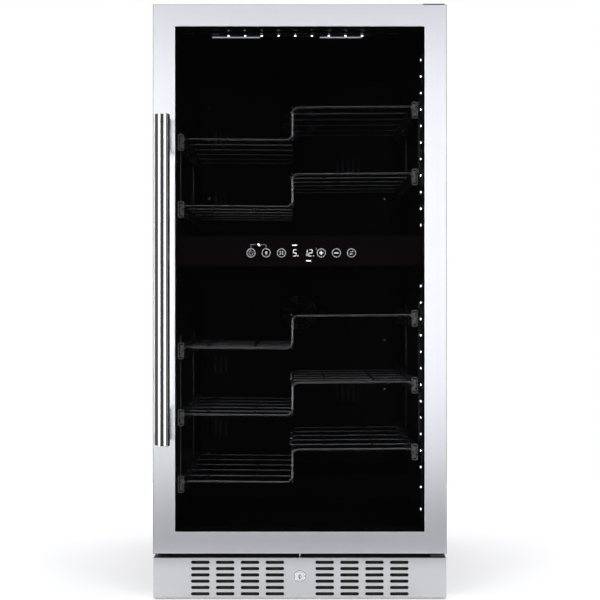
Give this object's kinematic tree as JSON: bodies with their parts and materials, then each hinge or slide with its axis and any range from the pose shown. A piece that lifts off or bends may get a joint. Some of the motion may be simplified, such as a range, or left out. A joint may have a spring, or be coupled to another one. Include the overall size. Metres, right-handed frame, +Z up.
{
  "type": "wine cooler",
  "caption": "Tall built-in dual-zone wine cooler with a glass door in a stainless frame, bar handle, pull-out wire shelves, touch controls and a slotted plinth grille with a lock.",
  "frame": {"origin": "middle of the bounding box's footprint, on the floor under the levelling feet", "axes": "+Z up; the door faces -Y; +X is to the right seen from the front"},
  "size_m": [0.595, 0.6346, 1.208],
  "materials": {
    "stainless": "vertical brushed stainless steel, fine grain",
    "chrome_wire": "bright chromed wire and fittings",
    "zinc_steel": "zinc-plated sheet steel, satin",
    "black_steel": "black powder-coated steel, satin",
    "black_abs": "black moulded ABS, satin",
    "fan_plastic": "grey moulded plastic",
    "control_glass": "gloss black touch panel with white symbols",
    "circuit_board": "green solder mask",
    "led_lens": "frosted lens over white LEDs",
    "foam": null,
    "rubber": "matt black magnetic gasket",
    "glass": "lightly tinted double glazing",
    "aluminium": "plain aluminium, satin",
    "copper": null
  },
  "bodies": {
    "cabinet": {"back_panel": "zinc_steel", "base_pan": "zinc_steel", "bottom_hinge": "black_steel", "compressor": "black_steel", "condenser": "aluminium", "control_board": "circuit_board", "control_glass": "control_glass", "divider_beam": "black_abs", "drain_tray": "black_abs", "duct_cover_lower": "black_abs", "duct_cover_upper": "black_abs", "evaporator_lower": "aluminium", "evaporator_upper": "aluminium", "fan_housing_lower": "black_abs", "fan_housing_upper": "black_abs", "fan_shroud": "black_abs", "insulation_foam": "foam", "kick_plate": "stainless", "led_bar_right_lower": "led_lens", "led_bar_right_upper": "led_lens", "led_bar_top": "led_lens", "left_rails_lower": "zinc_steel", "left_rails_upper": "zinc_steel", "left_side_panel": "black_steel", "liner_lower": "black_abs", "liner_upper": "black_abs", "lock_housing": "chrome_wire", "power_board": "fan_plastic", "power_inlet": "black_abs", "rear_grille": "zinc_steel", "refrigerant_pipe": "copper", "right_rails_lower": "zinc_steel", "right_rails_upper": "zinc_steel", "right_side_panel": "black_steel", "top_hinge": "black_steel", "top_panel": "black_steel"},
    "door": {"door_frame": "stainless", "door_inner_frame": "black_abs", "outer_glass": "glass", "inner_glass": "glass", "glass_spacer": "aluminium", "door_gasket": "rubber", "handle_bar": "stainless", "handle_foot_upper": "stainless", "handle_foot_lower": "stainless"},
    "shelf_1": {"shelf_1": "chrome_wire"},
    "shelf_2": {"shelf_2": "chrome_wire"},
    "shelf_3": {"shelf_3": "chrome_wire"},
    "shelf_4": {"shelf_4": "chrome_wire"},
    "shelf_5": {"shelf_5": "chrome_wire"},
    "lock_cylinder": {"lock_cylinder": "zinc_steel"},
    "lock_bolt": {"lock_bolt": "zinc_steel"},
    "condenser_fan": {"condenser_fan": "fan_plastic"},
    "evaporator_fan_upper": {"evaporator_fan_upper": "fan_plastic"},
    "evaporator_fan_lower": {"evaporator_fan_lower": "fan_plastic"},
    "levelling_foot_front_left": {"levelling_foot_front_left": "black_abs"},
    "levelling_foot_front_right": {"levelling_foot_front_right": "black_abs"},
    "levelling_foot_rear_left": {"levelling_foot_rear_left": "black_abs"},
    "levelling_foot_rear_right": {"levelling_foot_rear_right": "black_abs"}
  },
  "joints": [
    {"name": "door_hinge", "type": "hinge", "parent": "cabinet", "child": "door", "pos_m": [0.279, -0.23575, 0.65], "axis": [0, 0, 1], "range_deg": [0, 110]},
    {"name": "shelf_1_slide", "type": "slide", "parent": "cabinet", "child": "shelf_1", "axis": [0, -1, 0], "range_m": [0, 0.096]},
    {"name": "shelf_2_slide", "type": "slide", "parent": "cabinet", "child": "shelf_2", "axis": [0, -1, 0], "range_m": [0, 0.096]},
    {"name": "shelf_3_slide", "type": "slide", "parent": "cabinet", "child": "shelf_3", "axis": [0, -1, 0], "range_m": [0, 0.096]},
    {"name": "shelf_4_slide", "type": "slide", "parent": "cabinet", "child": "shelf_4", "axis": [0, -1, 0], "range_m": [0, 0.096]},
    {"name": "shelf_5_slide", "type": "slide", "parent": "cabinet", "child": "shelf_5", "axis": [0, -1, 0], "range_m": [0, 0.096]},
    {"name": "lock_turn", "type": "hinge", "parent": "cabinet", "child": "lock_cylinder", "pos_m": [0, -0.25575, 0.047], "axis": [0, -1, 0], "range_deg": [0, 90]},
    {"name": "lock_bolt_slide", "type": "slide", "parent": "cabinet", "child": "lock_bolt", "axis": [0, 0, 1], "range_m": [0, 0.008]},
    {"name": "condenser_fan_spin", "type": "hinge", "parent": "cabinet", "child": "condenser_fan", "pos_m": [-0.078, 0.2525, 0.091], "axis": [1, 0, 0], "continuous": true},
    {"name": "evaporator_fan_upper_spin", "type": "hinge", "parent": "cabinet", "child": "evaporator_fan_upper", "pos_m": [0, 0.2415, 1.055], "axis": [0, 1, 0], "continuous": true},
    {"name": "evaporator_fan_lower_spin", "type": "hinge", "parent": "cabinet", "child": "evaporator_fan_lower", "pos_m": [0, 0.2415, 0.575], "axis": [0, 1, 0], "continuous": true},
    {"name": "foot_front_left_screw", "type": "slide", "parent": "cabinet", "child": "levelling_foot_front_left", "axis": [0, 0, -1], "range_m": [0, 0.02]},
    {"name": "foot_front_right_screw", "type": "slide", "parent": "cabinet", "child": "levelling_foot_front_right", "axis": [0, 0, -1], "range_m": [0, 0.02]},
    {"name": "foot_rear_left_screw", "type": "slide", "parent": "cabinet", "child": "levelling_foot_rear_left", "axis": [0, 0, -1], "range_m": [0, 0.02]},
    {"name": "foot_rear_right_screw", "type": "slide", "parent": "cabinet", "child": "levelling_foot_rear_right", "axis": [0, 0, -1], "range_m": [0, 0.02]}
  ],
  "couplings": [
    {"joint": "shelf_1_slide", "follows": "door_hinge", "m_per_rad": 0.05},
    {"joint": "shelf_2_slide", "follows": "door_hinge", "m_per_rad": 0.05},
    {"joint": "shelf_3_slide", "follows": "door_hinge", "m_per_rad": 0.05},
    {"joint": "shelf_4_slide", "follows": "door_hinge", "m_per_rad": 0.05},
    {"joint": "shelf_5_slide", "follows": "door_hinge", "m_per_rad": 0.05},
    {"joint": "lock_bolt_slide", "follows": "lock_turn", "m_per_rad": 0.005092}
  ]
}
